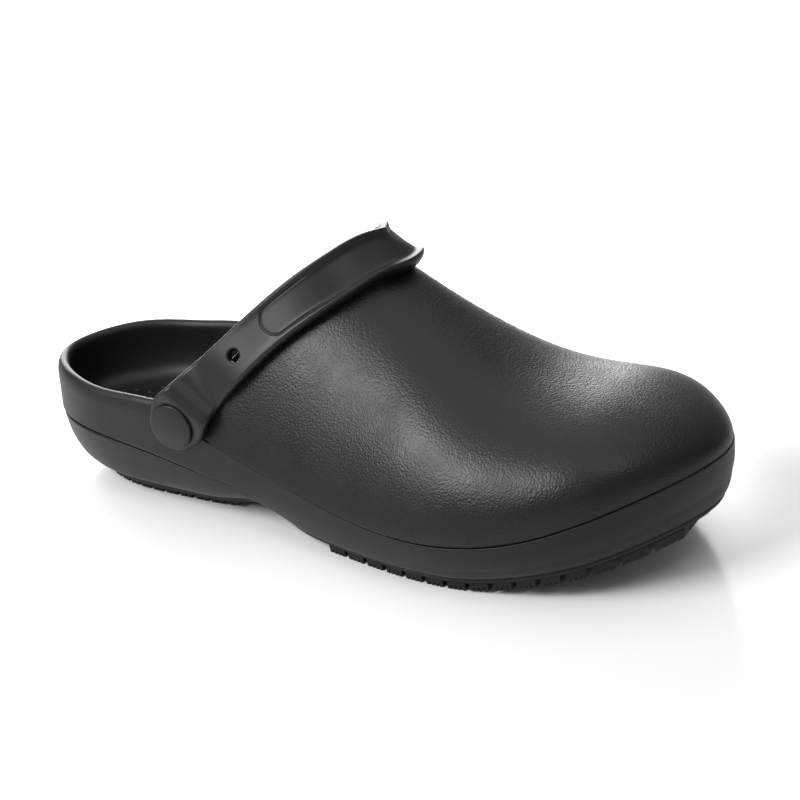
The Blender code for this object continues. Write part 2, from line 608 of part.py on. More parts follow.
def make_outsole(material):
    """Rubber plate that follows the tread line, with lugs pulled down from its underside."""
    rows = tread_shares()
    marks = sorted([0.0, 0.012, 0.365, 0.405, 0.445, 0.475, 0.994, 1.0] + [m for row in rows for m in row])
    shares = np.array(marks)
    index = loop_indices(shares)
    share = FINE_SHARE[index]
    heel = heel_part(share)
    inset = heel * HEEL_TAPER + (1 - heel) * FORE_TAPER * (1 - 0.3 * ease(share, 0.75, 0.92)) - 0.0008
    xy = along(index, inset)
    count = len(index)
    top = np.c_[xy, plate_top(share)]
    low = np.c_[xy, tread_height(share) + LUG_DEPTH]
    columns = (0.0, 0.13, 0.16, 0.36, 0.39, 0.61, 0.64, 0.84, 0.87, 1.0)
    verts = list(top) + list(low)
    faces = grid_faces(2, count, True)
    half = count // 2

    def fill(ring, start, skip):
        """Rows across one ring; skip(i, j) leaves a cell out and is given its corners."""
        last = None
        for i in range(1, half):
            row = [start + i]
            for w in columns[1:-1]:
                verts.append(ring[i] * (1 - w) + ring[-i] * w)
                row.append(len(verts) - 1)
            row.append(start + count - i)
            if last is None:
                faces.extend((start, row[j + 1], row[j]) for j in range(len(columns) - 1))
            else:
                for j in range(len(columns) - 1):
                    cell = (last[j], last[j + 1], row[j + 1], row[j])
                    if not skip(shares[i - 1], j, cell):
                        faces.append(cell)
            last = row
        faces.extend((start + half, last[j], last[j + 1]) for j in range(len(columns) - 1))

    starts = [row[0] for row in rows]

    def lug(place, j, cell):
        """Pull one cell down to the tread line with drawn-in sides."""
        if j % 2 or min(abs(place - s) for s in starts) > 1e-6:
            return False
        corners = np.array([verts[k] for k in cell])
        centre = corners.mean(0)
        foot = corners * 0.88 + centre * 0.12
        foot[:, 2] = tread_height(foot[:, 0] / LENGTH + 0.5)
        first = len(verts)
        verts.extend(foot)
        for k in range(4):
            n = (k + 1) % 4
            faces.append((cell[k], cell[n], first + n, first + k))
        faces.append((first, first + 1, first + 2, first + 3))
        return True

    fill(top, 0, lambda place, j, cell: False)
    fill(low, count, lug)
    return add_object("outsole", verts, faces, material)


def centre_all(items):
    """Put the middle of the whole shoe's box over the origin and its lowest point on the floor."""
    points = np.array([v.co for item in items for v in item.data.vertices])
    low, high = points.min(0), points.max(0)
    move = np.array([-(low[0] + high[0]) / 2, -(low[1] + high[1]) / 2, -low[2]])
    for item in items:
        for vertex in item.data.vertices:
            vertex.co = np.array(vertex.co) + move
    print("moved", np.round(move, 6), "size", np.round(high - low, 5))


def build():
    for item in list(bpy.data.objects):
        bpy.data.objects.remove(item, do_unlink=True)
    grained = surface("grained_eva", (0.030, 0.030, 0.032), 0.45)
    smooth = surface("smooth_eva", (0.027, 0.027, 0.029), 0.50)
    rubber = surface("tread_rubber", (0.010, 0.010, 0.010), 0.75)
    band = surface("strap_eva", (0.026, 0.026, 0.028), 0.42)
    cap = surface("rivet_plastic", (0.024, 0.024, 0.026), 0.38)
    midsole = make_midsole(smooth)
    spots = rivet_places()
    for spot in spots:
        drill(midsole, spot, (0, 1, 0), RIVET_PIN / 2 + SEAM_GAP, 0.030, "cut_wall")
    items = [midsole, make_upper(grained), make_outsole(rubber), make_strap(band)]
    items.append(make_rivet("rivet_lateral", spots[0], cap))
    items.append(make_rivet("rivet_medial", spots[1], cap))
    centre_all(items)


build()
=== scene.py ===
import bmesh
import bpy
import numpy as np
from mathutils import Matrix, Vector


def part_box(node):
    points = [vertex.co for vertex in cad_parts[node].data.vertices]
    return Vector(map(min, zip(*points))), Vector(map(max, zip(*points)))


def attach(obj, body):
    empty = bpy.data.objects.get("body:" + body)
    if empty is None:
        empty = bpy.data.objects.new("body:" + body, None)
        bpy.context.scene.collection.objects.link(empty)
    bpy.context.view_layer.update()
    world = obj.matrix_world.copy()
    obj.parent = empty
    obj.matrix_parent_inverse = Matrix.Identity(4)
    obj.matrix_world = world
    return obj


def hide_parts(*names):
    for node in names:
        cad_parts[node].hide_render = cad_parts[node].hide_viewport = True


# Chef clog, right shoe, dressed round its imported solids. Metres; +X to the toe, +Y to the inner
# side, +Z up, the floor at z = 0.
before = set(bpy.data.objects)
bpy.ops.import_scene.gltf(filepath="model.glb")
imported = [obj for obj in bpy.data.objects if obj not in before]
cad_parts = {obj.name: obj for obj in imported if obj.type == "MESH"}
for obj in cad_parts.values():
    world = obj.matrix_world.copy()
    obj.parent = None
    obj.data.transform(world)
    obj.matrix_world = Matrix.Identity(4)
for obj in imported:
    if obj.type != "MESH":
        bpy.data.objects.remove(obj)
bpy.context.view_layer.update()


# Sole cup. The real one is a single closed-cell EVA moulding: side band, heel cup, footbed and the
# block under the heel come out of one mould. Here it is rings drawn in from the foot's outline,
# from inside the skirt round the rubber, up over the open rim and down to the footbed.

LENGTH = 0.285             # heel to toe
BALL_WIDTH = 0.113         # sizes the outline across
TOE_POINT = 0.022          # share of the ball width by which the toe's tip leans inward
# share along, share of the ball width on the outer side, the same on the inner side
OUTLINE = (
    (0.050, 0.214, 0.215), (0.140, 0.322, 0.323), (0.250, 0.346, 0.340), (0.380, 0.369, 0.345),
    (0.520, 0.440, 0.400), (0.660, 0.503, 0.460), (0.780, 0.485, 0.460), (0.880, 0.410, 0.421),
    (0.955, 0.242, 0.259),
)
LUG_DEPTH = 0.0030
TREAD_PLATE = 0.0020
SEAM_GAP = 0.00035         # between mouldings that meet
TOE_SPRING = 0.0190
ARCH_LIFT = 0.0060
SEAM_HEIGHT = 0.0470
LEDGE_HEIGHT = 0.0300
FOOTBED_HEIGHT = 0.0240
HEEL_TAPER = 0.0145        # how far the heel block draws in below the ledge
FORE_TAPER = 0.0060
RIM_WALL = 0.0046
VAMP_INSET = 0.0020        # step from the band in to the vamp
COLLAR_START = 0.313       # share along where the vamp's collar leaves the rim
RIM_END = 0.292
# share along, height as a share of SEAM_HEIGHT: the rim's top at the heel, then the seam's line
RIM_LINE = (
    (0.00, 1.00), (0.06, 1.03), (0.15, 1.02), (0.22, 1.04), (0.26, 1.06), (RIM_END, 1.05), (0.303, 0.95),
    (COLLAR_START, 0.84), (0.327, 0.78), (0.37, 0.69), (0.50, 0.50), (0.65, 0.42), (0.80, 0.54),
    (0.92, 0.80), (1.00, 0.94),
)
# share along, height as a share of LEDGE_HEIGHT
LEDGE_LINE = (
    (0.00, 0.92), (0.10, 1.00), (0.20, 0.93), (0.30, 0.74), (0.40, 0.55), (0.50, 0.33),
    (0.62, 0.31), (0.75, 0.40), (0.85, 0.63), (0.93, 0.88), (1.00, 1.08),
)
# share along, share of ARCH_LIFT, share of TOE_SPRING
TREAD_LINE = (
    (0.00, 0.10, 0.0), (0.04, 0.0, 0.0), (0.28, 0.0, 0.0), (0.33, 0.30, 0.0), (0.37, 0.85, 0.0),
    (0.41, 0.75, 0.0), (0.46, 0.20, 0.0), (0.51, 0.0, 0.0), (0.60, 0.0, 0.0), (0.70, 0.0, 0.0),
    (0.75, 0.0, 0.08), (0.85, 0.0, 0.42), (0.93, 0.0, 0.75), (1.00, 0.0, 1.0),
)
# share along, height as a share of FOOTBED_HEIGHT
FOOTBED_LINE = (
    (0.00, 1.04), (0.10, 1.00), (0.25, 1.00), (0.35, 0.92), (0.45, 0.70), (0.55, 0.54),
    (0.65, 0.49), (0.75, 0.56), (0.85, 0.82), (0.93, 1.08), (1.00, 1.30),
)
# wall rings: share of the taper drawn in at the heel, at the ball, level (0 tread, 1 ledge, 2 rim),
# share of the ledge groove's depth
WALL_RINGS = (
    (1.00, 1.00, 0.000, 0.0), (0.76, 0.84, 0.040, 0.0), (0.54, 0.72, 0.120, 0.0), (0.36, 0.57, 0.250, 0.0),
    (0.20, 0.42, 0.480, 0.0), (0.12, 0.33, 0.720, 0.0), (0.09, 0.29, 0.880, 0.0), (0.085, 0.275, 0.925, 0.0),
    (0.085, 0.27, 0.935, 0.8), (0.083, 0.265, 0.955, 1.0), (0.08, 0.26, 0.975, 0.8),
    (0.062, 0.255, 0.985, 0.0), (0.060, 0.25, 1.010, 0.0), (0.070, 0.14, 1.160, 0.0),
    (0.085, 0.02, 1.450, 0.0), (0.095, 0.00, 1.690, 0.0),
)
GROOVE_DEPTH = 0.0012
# rim rings in mm: inset and drop where the rim is open, inset and drop under the vamp
RIM_RINGS = (
    (1.4, 5.0, 0.0, 0.9), (1.7, 3.2, 0.02, 0.4), (2.2, 1.6, 0.1, 0.1), (3.0, 0.5, 0.4, 0.02),
    (4.1, 0.0, 3.8, 0.0), (5.2, 0.4, 5.0, 0.0), (6.0, 1.3, 5.8, 0.3), (6.5, 2.8, 6.2, 1.4),
)
# inner wall rings: inset as a share of RIM_WALL, height as a share from the footbed to the rim
INNER_RINGS = ((1.10, 0.55), (1.30, 0.30), (1.60, 0.14), (2.20, 0.04))
BOSS_SWELL = 1.3           # mm by which the rim swells out toward the rivets
SKIRT_LIP = 0.0003         # the skirt round the rubber stands this far outside the cup's lower edge
SKIRT_HEEL = 0.0019        # its height off the floor at the heel
SKIRT_FORE = 0.0006        # how far it stops above the lugs' roots at the ball
SKIRT_GAP = 0.0002         # between the skirt and the rubber
SKIRT_ROUND = 0.0003       # its edges are rounded over about this much
SHEET_HEEL_IN = 0.0006     # the rubber's edge lies this far inside the cup's lower edge at the heel
SHEET_FORE_IN = 0.0003     # and at the ball
BLOCK_LEAST = 0.0025       # least height of the block under the ledge
LEDGE_FADE = (0.27, 0.40)  # shares along between which the ledge groove runs out
BOSS_SPAN = (0.15, 0.25)   # and between which the rim swells toward the rivets
HEEL_SPAN = (0.30, 0.47)   # and between which the heel block gives way to the forefoot
RIM_OPEN_EARLY = 0.03      # the open rim starts to close this share before RIM_END
RIM_OFFSET = VAMP_INSET * 0.8  # the rim's inner side is measured from here
TREAD_FLAT = ((0.04, 0.28), (0.52, 0.70))  # shares along that stand flat on the floor
TOE_FILL = 0.3             # share of FORE_TAPER given up at the toe
TOE_SPAN = (0.75, 0.92)    # and the shares along between which it goes
FOOTBED_DISH = 0.0030      # rise of the footbed's edges
FOOTBED_HALF = 0.40        # half its width, as a share of BALL_WIDTH
ARCH_BUMP = 0.0080
ARCH_BUMP_PLACE = 0.40     # share along
ARCH_BUMP_REACH = 0.11
FOOTBED_EDGE = 3.4         # last ring, in rim walls from the rim
LOOP_HALF = 250            # places along each side of the outline
BED_COLUMNS = 60
UNDER_COLUMNS = 8
WELD = 0.000005            # points closer than this are merged


def cubic(places, values, x):
    """Natural cubic spline: second derivatives solve the usual tridiagonal set, ends left free."""
    places, values = np.asarray(places, float), np.asarray(values, float)
    x = np.clip(np.asarray(x, float), places[0], places[-1])
    gap = np.diff(places)
    lift = (-1,) + (1,) * (values.ndim - 1)
    inner = np.arange(1, len(places) - 1)
    matrix = np.eye(len(places))
    matrix[inner, inner - 1] = gap[:-1]
    matrix[inner, inner] = 2 * (gap[:-1] + gap[1:])
    matrix[inner, inner + 1] = gap[1:]
    right = np.zeros_like(values)
    right[1:-1] = 6 * np.diff(np.diff(values, axis=0) / gap.reshape(lift), axis=0)
    bend = np.linalg.solve(matrix, right.reshape(len(places), -1)).reshape(values.shape)
    i = np.clip(np.searchsorted(places, x, side="right") - 1, 0, len(places) - 2)
    shape = x.shape + (1,) * (values.ndim - 1)
    h = gap[i].reshape(shape)
    p = ((places[i + 1] - x) / gap[i]).reshape(shape)
    q = 1 - p
    return p * values[i] + q * values[i + 1] + ((p**3 - p) * bend[i] + (q**3 - q) * bend[i + 1]) * h**2 / 6


def column(table, k, x):
    """Natural cubic through column k of a table whose first column is the place."""
    rows = np.array(table, float)
    return cubic(rows[:, 0], rows[:, k], x)


def ease(x, low, high):
    """3q^2 - 2q^3 where q runs from 0 at low to 1 at high."""
    q = np.clip((x - low) / (high - low), 0, 1)
    return q * q * (3 - 2 * q)


def foot_outline(count=16000):
    """Closed cubic through the outline's points: three laps are fitted and the middle one is kept."""
    rows = np.array(OUTLINE)
    outer = np.c_[rows[:, 0] * LENGTH, -rows[:, 1] * BALL_WIDTH]
    inner = np.c_[rows[::-1, 0] * LENGTH, rows[::-1, 2] * BALL_WIDTH]
    loop = np.r_[[(0, 0)], outer, [(LENGTH, TOE_POINT * BALL_WIDTH)], inner]
    around = np.r_[loop, loop, loop, loop[:1]]
    run = np.r_[0, np.cumsum(np.linalg.norm(np.diff(around, axis=0), axis=1))]
    first, last = run[len(loop)], run[2 * len(loop)]
    points = cubic(run, around, np.linspace(first, last, count, endpoint=False))
    points = np.roll(points, -int(np.argmin(points[:, 0])), 0)
    way = np.roll(points, -1, 0) - np.roll(points, 1, 0)
    way /= np.linalg.norm(way, axis=1)[:, None]
    share = (points[:, 0] - points[:, 0].min()) / np.ptp(points[:, 0])
    points[:, 0] = share * LENGTH - LENGTH / 2
    return points, np.c_[-way[:, 1], way[:, 0]], share


EDGE, EDGE_NORMAL, EDGE_SHARE = foot_outline()
TOE = int(np.argmax(EDGE[:, 0]))
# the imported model's middle lies this far inward of the outline's own middle line
cup_low, cup_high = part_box("midsole")
SIDE_SHIFT = (cup_low.y - EDGE[:, 1].min()) / 2 + (cup_high.y - EDGE[:, 1].max()) / 2


def along(index, inset):
    """Outline points drawn inward along their normals."""
    return EDGE[index] + EDGE_NORMAL[index] * np.reshape(inset, (-1, 1))


def side_index(side, shares):
    """Indices of the outline at shares along the shoe, on the outer (0) or inner (1) side."""
    if side == 0:
        places = np.interp(shares, EDGE_SHARE[:TOE + 1], np.arange(TOE + 1))
    else:
        places = np.interp(shares, np.r_[EDGE_SHARE[TOE:], 0.0][::-1], np.arange(TOE, len(EDGE) + 1)[::-1])
    return np.round(places).astype(int) % len(EDGE)


def rim_height(share):
    return column(RIM_LINE, 1, share) * SEAM_HEIGHT


def tread_height(share):
    """Floor side of the lugs: flat under heel and ball, raised at the arch and the toe."""
    lift = column(TREAD_LINE, 1, share) * ARCH_LIFT + column(TREAD_LINE, 2, share) * TOE_SPRING
    flat = np.any([(share > start) & (share < stop) for start, stop in TREAD_FLAT], axis=0)
    return np.where(flat, 0.0, np.maximum(lift, 0.0))


def heel_part(share):
    """1 over the heel block, 0 under the ball."""
    return 1 - ease(share, *HEEL_SPAN)


def footbed_height(x, y):
    """Long profile, dished edges and a Gaussian bump for the arch on the inner side."""
    share = np.clip(x / LENGTH + 0.5, 0, 1)
    half = FOOTBED_HALF * BALL_WIDTH
    dish = FOOTBED_DISH * np.clip(np.abs(y) / half, 0, 1.2)**2.5
    arch = ARCH_BUMP * np.exp(-((share - ARCH_BUMP_PLACE) / ARCH_BUMP_REACH)**2) * ease(y, 0.0, half)
    return column(FOOTBED_LINE, 1, share) * FOOTBED_HEIGHT + dish + arch


def grid_quads(rows, columns, wrap=False, start=0):
    """Vertex numbers of the quads between rows of points; wrap closes each row on itself."""
    i, j = np.meshgrid(np.arange(rows - 1), np.arange(columns if wrap else columns - 1), indexing="ij")
    a, k = start + i * columns + j, start + i * columns + (j + 1) % columns
    return np.stack([a, k, k + columns, a + columns], -1).reshape(-1, 4)


def mesh_piece(name, parts, material):
    """One smooth-shaded mesh from (points, quads) parts: doubles merged, normals turned outward."""
    points, quads, count = [], [], 0
    for verts, faces in parts:
        points.append(np.asarray(verts, float).reshape(-1, 3))
        quads.append(np.asarray(faces) + count)
        count += len(points[-1])
    points = np.concatenate(points)
    points[:, 1] += SIDE_SHIFT
    mesh = bpy.data.meshes.new(name)
    mesh.from_pydata(points.tolist(), [], np.concatenate(quads).tolist())
    work = bmesh.new()
    work.from_mesh(mesh)
    bmesh.ops.remove_doubles(work, verts=work.verts, dist=WELD)
    bmesh.ops.recalc_face_normals(work, faces=work.faces)
    work.to_mesh(mesh)
    work.free()
    mesh.shade_smooth()
    mesh.materials.append(material)
    piece = bpy.data.objects.new(name, mesh)
    bpy.context.scene.collection.objects.link(piece)
    return piece


def linear(code):
    """An sRGB hex colour as linear RGBA."""
    channel = np.array([int(code[i:i + 2], 16) for i in (1, 3, 5)]) / 255
    flat = np.where(channel <= 0.04045, channel / 12.92, ((channel + 0.055) / 1.055)**2.4)
    return (*flat.tolist(), 1.0)


def add_node(tree, kind, inputs=None, **settings):
    """Adds one node with its own settings; inputs maps a socket to a value or to another's output."""
    made = tree.nodes.new(kind)
    for name, value in settings.items():
        setattr(made, name, value)
    for name, value in (inputs or {}).items():
        if isinstance(value, bpy.types.NodeSocket):
            tree.links.new(value, made.inputs[name])
        else:
            made.inputs[name].default_value = value
    return made


SPECULAR = 0.32            # the same for foam, rubber and rivets


def moulded_skin(name, colour, rough, grain_mm, grain_depth):
    """A near black skin with tiny soft dimples, as a finely blasted mould leaves it. Foam, rubber and
    rivets differ in colour, roughness and grain only."""
    item = bpy.data.materials.new(name)
    item.use_nodes = True
    tree = item.node_tree
    shader = tree.nodes["Principled BSDF"]
    shader.inputs["Base Color"].default_value = linear(colour)
    shader.inputs["Specular IOR Level"].default_value = SPECULAR
    place = add_node(tree, "ShaderNodeTexCoord")
    grain = add_node(tree, "ShaderNodeTexNoise", {
        "Vector": place.outputs["Object"], "Scale": 1000 / grain_mm, "Detail": 2.0, "Roughness": 0.55})
    cloud = add_node(tree, "ShaderNodeTexNoise", {
        "Vector": place.outputs["Object"], "Scale": 45.0, "Detail": 3.0})
    shine = add_node(tree, "ShaderNodeMapRange", {
        "Value": cloud.outputs["Fac"], "From Min": 0.3, "From Max": 0.7,
        "To Min": rough - 0.03, "To Max": rough + 0.05})
    bump = add_node(tree, "ShaderNodeBump", {
        "Height": grain.outputs["Fac"], "Strength": 1.0, "Distance": grain_depth / 1000})
    tree.links.new(shine.outputs["Result"], shader.inputs["Roughness"])
    tree.links.new(bump.outputs["Normal"], shader.inputs["Normal"])
    return item


def lower_inset(share):
    """How far the cup's lower edge is drawn in: more at the heel than at the ball, least at the toe."""
    heel = heel_part(share)
    return heel * HEEL_TAPER + (1 - heel) * FORE_TAPER * (1 - TOE_FILL * ease(share, *TOE_SPAN))


def sheet_inset(share):
    """The rubber sheet's edge, inside the skirt."""
    heel = heel_part(share)
    return lower_inset(share) + heel * SHEET_HEEL_IN + (1 - heel) * SHEET_FORE_IN


def cut_corners(rings):
    """Corner cutting: each pass puts points at a quarter and three quarters of every gap."""
    for _ in range(2):
        near = rings[:-1] * 0.75 + rings[1:] * 0.25
        far = rings[:-1] * 0.25 + rings[1:] * 0.75
        between = np.stack([near, far], 1).reshape(-1, *rings.shape[1:])
        rings = np.concatenate([rings[:1], between, rings[-1:]])
    return rings


def cup_rings(index):
    """Rings of the cup at the outline's indices: inside the skirt, up over the rim, to the footbed."""
    share = EDGE_SHARE[index]
    heel = heel_part(share)
    plate = tread_height(share) + LUG_DEPTH + TREAD_PLATE
    low = plate + SEAM_GAP
    foot = tread_height(share) + heel * SKIRT_HEEL + (1 - heel) * (LUG_DEPTH + SKIRT_FORE)
    mid = np.maximum(column(LEDGE_LINE, 1, share) * LEDGE_HEIGHT, low + BLOCK_LEAST)
    top = rim_height(share)
    taper = lower_inset(share)
    inside = sheet_inset(share) - SKIRT_GAP
    outside = taper - SKIRT_LIP
    skirt = ((inside, low), (inside, plate - SKIRT_GAP), (inside, foot + 0.0004), (inside - 0.0001, foot),
             (taper, foot), (outside, foot + SKIRT_ROUND), (outside, low - 2 * SKIRT_ROUND))
    rings = [np.c_[along(index, inset), z] for inset, z in skirt]
    groove = GROOVE_DEPTH * (1 - ease(share, *LEDGE_FADE))
    boss = ease(share, *BOSS_SPAN)
    for heel_in, fore_in, level, cut in WALL_RINGS:
        heel_in = heel_in * (1 - boss * (level > 1))
        inset = taper * (heel * heel_in + (1 - heel) * fore_in) + groove * cut
        z = np.where(level < 1, low + (mid - low) * level, mid + (top - mid) * (level - 1))
        rings.append(np.c_[along(index, inset), z])
    open_rim = 1 - ease(share, RIM_END - RIM_OPEN_EARLY, COLLAR_START)
    for inset_open, drop_open, inset_seam, drop_seam in RIM_RINGS:
        inset = (open_rim * (inset_open - BOSS_SWELL * boss) + (1 - open_rim) * inset_seam) / 1000
        drop = (open_rim * drop_open + (1 - open_rim) * drop_seam) / 1000
        rings.append(np.c_[along(index, inset), top - drop])
    for across, level in INNER_RINGS + ((FOOTBED_EDGE, 0.0),):
        xy = along(index, RIM_OFFSET + RIM_WALL * across)
        bed = footbed_height(xy[:, 0], xy[:, 1])
        rings.append(np.c_[xy, bed + (top - bed) * level])
    return cut_corners(np.array(rings))


def across_loop(ring, columns, height):
    """Straight rows from one side of a closed ring to the other; height gives each point's z."""
    half = len(ring) // 2
    outer, inner = ring[:half + 1], np.r_[ring[:1], ring[:half - 1:-1]]
    w = np.linspace(0, 1, columns + 1)[None, :, None]
    points = outer[:, None] * (1 - w) + inner[:, None] * w
    points[:, 1:-1, 2] = height(points[:, 1:-1])
    return points


even = np.linspace(0, TOE, LOOP_HALF + 1).round().astype(int)
back = np.linspace(TOE, len(EDGE), LOOP_HALF + 1).round().astype(int)[1:-1]
cup_loop = np.r_[even, back]
cup = cup_rings(cup_loop)
bed = across_loop(cup[-1], BED_COLUMNS, lambda p: footbed_height(p[..., 0], p[..., 1]))
under = across_loop(cup[0], UNDER_COLUMNS, lambda p: p[..., 2])
smooth_eva = moulded_skin("moulded EVA, fine mould grain", "#0f0f11", 0.46, 0.8, 0.06)
midsole = mesh_piece("sole_cup", [
    (cup, grid_quads(len(cup), len(cup_loop), True)),
    (bed, grid_quads(*bed.shape[:2])),
    (under, grid_quads(*under.shape[:2])),
], smooth_eva)
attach(midsole, "root")
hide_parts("midsole")


# Footbed nubs. Small massage domes moulded on the footbed of the same foam, a few millimetres
# apart, so that the foot doesn't slide. Each is a low spherical cap sunk in the bed.

NUB_RADIUS = 0.0015
NUB_HEIGHT = 0.0008
NUB_SPACING = 0.0062
NUB_BORDER = 0.010         # bare strip along the footbed's edge
NUB_SPAN = (0.075, 0.90)   # shares along
NUB_SINK = 0.0002          # its rim lies this far under the bed
NUB_RINGS = (1.0, 0.94, 0.75, 0.45, 0.0)  # shares of the radius
NUB_SIDES = 10


def nub_field():
    """Caps on a staggered lattice: height falls as the square of the distance from each centre."""
    step_x, step_y = NUB_SPACING, NUB_SPACING * np.sqrt(3) / 2
    i, j = np.meshgrid(np.arange(-24, 25), np.arange(-10, 11), indexing="ij")
    x, y = (i + 0.5 * (j % 2)) * step_x, j * step_y
    share = x / LENGTH + 0.5
    clipped = np.clip(share, 0, 1)
    low = EDGE[side_index(0, clipped.ravel()), 1].reshape(x.shape) + NUB_BORDER + RIM_WALL
    high = EDGE[side_index(1, clipped.ravel()), 1].reshape(x.shape) - NUB_BORDER - RIM_WALL
    keep = (share > NUB_SPAN[0]) & (share < NUB_SPAN[1]) & (y > low) & (y < high)
    centre = np.c_[x[keep], y[keep]]
    turn = np.linspace(0, 2 * np.pi, NUB_SIDES, endpoint=False)
    radius = np.array(NUB_RINGS)[:, None] * NUB_RADIUS
    ring = np.stack(np.broadcast_arrays(radius * np.cos(turn), radius * np.sin(turn)), -1)
    xy = centre[:, None, None] + ring
    rise = NUB_HEIGHT * (1 - (radius / NUB_RADIUS)**2) - NUB_SINK
    z = footbed_height(xy[..., 0], xy[..., 1]) + rise[None]
    points = np.concatenate([xy, z[..., None]], -1)
    quads = grid_quads(len(NUB_RINGS), NUB_SIDES, True)
    lid = np.array([[0, k, k - 1, k - 2] for k in range(NUB_SIDES - 1, 1, -2)])
    one = np.r_[quads, lid]
    size = len(NUB_RINGS) * NUB_SIDES
    return points, (one[None] + size * np.arange(len(centre))[:, None, None]).reshape(-1, 4)


nubs = mesh_piece("footbed_nubs", [nub_field()], smooth_eva)
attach(nubs, "root")


# Vamp and toe box. The real one is a closed EVA shell with a leather grain etched in its mould,
# bonded into the cup along the seam line. Here it is one skin with its lining, a flattened arch
# between the two seams at every place along the shoe, rounded over the collar edge.

VAMP_WALL = 0.0036
SKIN_INSET = 0.0004        # the skin stands almost flush with the band
INSTEP_HEIGHT = 0.1090
CREST_SHIFT = 0.0165
ARCH_POWER = 2.3
DOME_POWER = 2.4
TOE_ROUND_START = 0.84
COLLAR_BACK = 0.0030
# share along, top line as a share of INSTEP_HEIGHT, shares of ARCH_POWER, DOME_POWER, CREST_SHIFT
TOP_LINE = (
    (0.20, 0.98, 0.88, 0.48, 1.00), (0.30, 1.00, 0.88, 0.48, 1.00), (0.40, 1.01, 0.88, 0.48, 1.00),
    (0.48, 0.93, 0.88, 0.49, 1.00), (0.56, 0.82, 0.89, 0.54, 0.85), (0.65, 0.70, 0.93, 0.68, 0.45),
    (0.75, 0.595, 0.98, 0.88, 0.12), (0.85, 0.565, 1.00, 1.00, 0.00), (1.00, 0.55, 1.00, 1.00, 0.00),
)
# degrees round the vamp's section, share along: the strap's centre line over the instep
STRAP_LINE = ((0, 0.290), (12, 0.292), (25, 0.319), (40, 0.375), (58, 0.449), (75, 0.500), (90, 0.526))
STRAP_INWARD = 0.018      # share along by which the inner half runs farther forward
VAMP_ROWS = 230
VAMP_COLUMNS = 150


def strap_share(turn):
    """Share along the shoe of the strap's centre line; turn 0 and pi are the two sides, and the
    inner half runs a little farther forward."""
    inward = np.sin(np.clip(2 * turn - np.pi, 0, np.pi))**2
    return column(STRAP_LINE, 1, np.degrees(np.minimum(turn, np.pi - turn))) + STRAP_INWARD * inward


def side_curve(side, inset):
    """One side of the inset outline, heel to toe, as x, y and share."""
    index = np.arange(TOE + 1) if side == 0 else np.r_[np.arange(TOE, len(EDGE)), 0][::-1]
    run = along(index, inset)
    return np.maximum.accumulate(run[:, 0]), run[:, 1], EDGE_SHARE[index]


def vamp_point(x, turn, inset, drop):
    """Superellipse between the seams: y goes as |cos|^(2/arch), z as sin^(2/dome), crest off centre."""
    x, turn = np.broadcast_arrays(np.asarray(x, float), turn)
    cos, sin = np.cos(turn), np.clip(np.sin(turn), 0, 1)
    sides = [side_curve(side, inset) for side in (0, 1)]
    y_side = [np.interp(x, xs, ys) for xs, ys, _ in sides]
    z_side = [np.interp(x, xs, rim_height(share)) for xs, _, share in sides]
    place = x / LENGTH + 0.5
    arch = column(TOP_LINE, 2, place) * ARCH_POWER
    dome = column(TOP_LINE, 3, place) * DOME_POWER
    crest = column(TOP_LINE, 4, place) * CREST_SHIFT
    reach = np.where(cos > 0, y_side[0] - crest, y_side[1] - crest)
    y = crest + reach * np.abs(cos)**(2 / arch)
    seam = z_side[0] * (1 + cos) / 2 + z_side[1] * (1 - cos) / 2
    tip = LENGTH / 2 - inset
    start = TOE_ROUND_START * LENGTH - LENGTH / 2
    close = np.clip((x - start) / (tip - start), 0, 1)
    top = column(TOP_LINE, 1, place) * INSTEP_HEIGHT - drop
    top = seam + (top - seam) * (1 - close**ARCH_POWER)**(1 / DOME_POWER)
    return np.stack([x, y, seam + (top - seam) * sin**(2 / dome)], -1)


def vamp_skin(inset, drop):
    """Rows from the collar to the toe; the first row follows the strap and later ones straighten."""
    step = np.linalg.norm(np.diff(EDGE[:TOE + 1], axis=0), axis=1)
    run = np.r_[0, np.cumsum(step)]
    first = np.interp(COLLAR_START, EDGE_SHARE[:TOE + 1], run)
    shares = np.interp(np.linspace(first, run[-1], VAMP_ROWS), run, EDGE_SHARE[:TOE + 1])
    index = [side_index(side, shares) for side in (0, 1)]
    outer, inner = [np.c_[along(i, inset), rim_height(EDGE_SHARE[i])] for i in index]
    turn = np.linspace(0, np.pi, VAMP_COLUMNS + 1)
    across = (1 - np.cos(turn)) / 2
    base = outer[:, None, 0] * (1 - across) + inner[:, None, 0] * across
    progress = (outer[:, 0] - outer[0, 0]) / (outer[-1, 0] - outer[0, 0])
    ahead = (COLLAR_START - STRAP_LINE[0][1]) * (1 - ease(np.sin(turn), 0, 0.5))
    collar = (strap_share(turn) + ahead - 0.5) * LENGTH - COLLAR_BACK * np.sin(turn)
    shift = collar - collar[0] - (base[0] - base[0, 0])
    points = vamp_point(base + shift * ((1 - progress)**2)[:, None], turn, inset, drop)
    points[:, 0], points[:, -1], points[-1] = outer, inner, outer[-1]
    points[:, [0, -1], 2] += SEAM_GAP
    points[-1, :, 2] = outer[-1, 2] + SEAM_GAP
    return points


def round_edge(skin, lining, turns=8):
    """Half circle swept round the collar from the skin's first row to the lining's."""
    middle, reach = (skin[0] + lining[0]) / 2, (skin[0] - lining[0]) / 2
    back = skin[0] - skin[3]
    back -= reach * np.sum(back * reach, 1)[:, None] / np.sum(reach * reach, 1)[:, None]
    back *= (np.linalg.norm(reach, axis=1) / np.linalg.norm(back, axis=1))[:, None]
    back *= np.sin(np.linspace(0, np.pi, len(back)))[:, None]**0.5
    angle = np.linspace(0, np.pi, turns + 1)[:, None, None]
    return middle + reach * np.cos(angle) + back * np.sin(angle)


